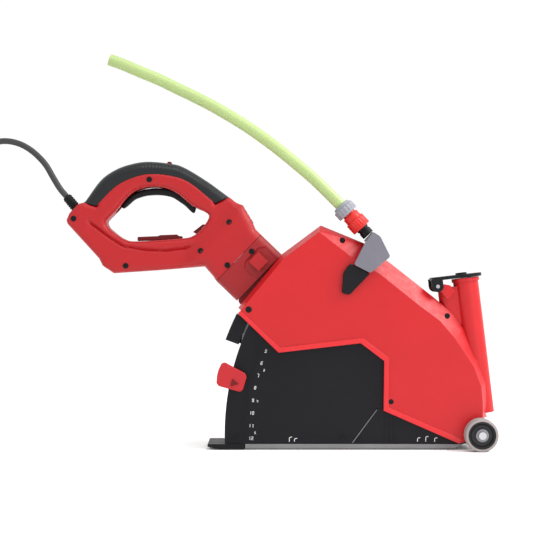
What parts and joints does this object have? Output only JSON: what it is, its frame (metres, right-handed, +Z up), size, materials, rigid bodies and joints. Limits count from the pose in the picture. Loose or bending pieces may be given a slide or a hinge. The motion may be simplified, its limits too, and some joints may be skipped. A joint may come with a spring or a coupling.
{
  "type": "wall chaser",
  "caption": "Plunging wall chaser with a covered diamond blade on a wheeled base, rear D-handle, depth stop, dust outlet and water hose.",
  "frame": {"origin": "floor level, under the middle of the machine in length and width, in the plane of the blade", "axes": "+X forward to the wheels, +Y to the motor side, +Z up; right-handed"},
  "size_m": [0.9907, 0.236, 0.6259],
  "materials": {
    "red_cover": "moulded glass-filled nylon, satin red, fine texture",
    "red_handle": "moulded nylon, satin red",
    "dark_red": "moulded nylon, dark red",
    "stop_red": "moulded nylon, red",
    "black_plastic": "moulded nylon, black, fine grain",
    "marks_white": "white pad print",
    "grip_rubber": "soft-touch overmould, dark grey",
    "grey_plate": "grey coated metal",
    "gear_metal": "die-cast magnesium, dark grey",
    "steel": "turned steel",
    "screw_black": "black oxide screw heads",
    "blade_steel": "ground steel core with sintered rim",
    "copper": "copper winding and segments",
    "brass": "pressed brass",
    "carbon": "carbon graphite",
    "tyre_rubber": "grey-beige rubber tyre",
    "hub_black": "moulded black hub",
    "nut_grey": "moulded grey plastic",
    "coupler_red": "moulded orange-red plastic",
    "hose_green": "translucent pale green PVC",
    "cable_grey": "rubber-sheathed mains cable",
    "plug_black": "moulded rubber plug with two pins"
  },
  "bodies": {
    "base": {"base_plate": "grey_plate", "rear_foot": "black_plastic", "wear_strip": "dark_red", "guard_near": "black_plastic", "guard_far": "black_plastic", "guard_front": "black_plastic", "depth_marks": "marks_white", "guard_screws": "screw_black", "wheel_axle": "steel", "axle_brackets": "black_plastic", "return_spring": "steel", "mains_cable": "cable_grey", "mains_coil": "cable_grey", "coil_tie": "plug_black", "mains_plug": "plug_black"},
    "near_wheel": {"wheel_hub_near": "hub_black", "wheel_tyre_near": "tyre_rubber"},
    "far_wheel": {"wheel_hub_far": "hub_black", "wheel_tyre_far": "tyre_rubber"},
    "depth_stop": {"depth_stop_block": "stop_red", "depth_stop_button": "stop_red"},
    "machine": {"cover_near": "red_cover", "cover_far": "red_cover", "cover_rim": "red_cover", "cover_screws": "screw_black", "rear_apron": "black_plastic", "pivot_arm": "gear_metal", "dust_duct": "red_cover", "water_bracket": "grey_plate", "water_arm": "black_plastic", "water_valve": "black_plastic", "hose_coupler": "coupler_red", "hose_nut": "nut_grey", "water_hose": "hose_green", "gear_housing": "gear_metal", "motor_housing": "red_handle", "motor_stator": "steel", "shaft_bearings": "steel", "brush_holders": "brass", "carbon_brushes": "carbon", "handle_near": "red_handle", "handle_far": "red_handle", "handle_screws": "screw_black", "handle_grip": "grip_rubber", "switch_module": "black_plastic", "cable_boot": "grip_rubber"},
    "dust_lid": {"dust_cap": "black_plastic", "dust_cap_pin": "steel"},
    "blade": {"spindle": "steel", "crown_gear": "steel", "blade_flanges": "steel", "flange_nut": "steel", "diamond_blade": "blade_steel"},
    "armature": {"armature_shaft": "steel", "armature_core": "copper", "commutator": "copper", "cooling_fan": "black_plastic"},
    "trigger_lever": {"trigger": "black_plastic"},
    "lock_off_slide": {"lock_off": "dark_red"},
    "spindle_lock_button": {"spindle_lock": "red_handle"}
  },
  "joints": [
    {"name": "near_wheel_roll", "type": "hinge", "parent": "base", "child": "near_wheel", "pos_m": [0.316, 0, 0.026], "axis": [0, 1, 0], "continuous": true},
    {"name": "far_wheel_roll", "type": "hinge", "parent": "base", "child": "far_wheel", "pos_m": [0.316, 0, 0.026], "axis": [0, 1, 0], "continuous": true},
    {"name": "plunge", "type": "hinge", "parent": "base", "child": "machine", "pos_m": [0.316, 0, 0.026], "axis": [0, -1, 0], "range_deg": [0, 9.2], "stiffness_Nm_per_rad": 40, "springref_deg": -68.75, "deforming": ["mains_cable"]},
    {"name": "depth_stop_set", "type": "hinge", "parent": "base", "child": "depth_stop", "pos_m": [0.316, 0, 0.026], "axis": [0, -1, 0], "range_deg": [0, 10.4]},
    {"name": "dust_cap_hinge", "type": "hinge", "parent": "machine", "child": "dust_lid", "pos_m": [0.252, 0, 0.257], "axis": [0, -1, 0], "range_deg": [0, 100]},
    {"name": "blade_spin", "type": "hinge", "parent": "machine", "child": "blade", "pos_m": [0.09, 0, 0.154], "axis": [0, 1, 0], "continuous": true},
    {"name": "armature_spin", "type": "hinge", "parent": "machine", "child": "armature", "pos_m": [0.09, 0.04, 0.154], "axis": [-0.7193, 0, 0.6947], "continuous": true},
    {"name": "trigger_pull", "type": "hinge", "parent": "machine", "child": "trigger_lever", "pos_m": [-0.138, 0.04, 0.389], "axis": [0, 1, 0], "range_deg": [0, 6], "stiffness_Nm_per_rad": 0.8, "springref_deg": -14.32},
    {"name": "lock_off_push", "type": "slide", "parent": "machine", "child": "lock_off_slide", "axis": [1, 0, 0], "range_m": [0, 0.004], "stiffness_N_per_m": 400, "springref_m": -0.006},
    {"name": "spindle_lock_press", "type": "slide", "parent": "machine", "child": "spindle_lock_button", "axis": [0, 1, 0], "range_m": [0, 0.0025], "stiffness_N_per_m": 500, "springref_m": -0.004}
  ],
  "couplings": [
    {"joint": "armature_spin", "follows": "blade_spin", "ratio": 4.5}
  ]
}
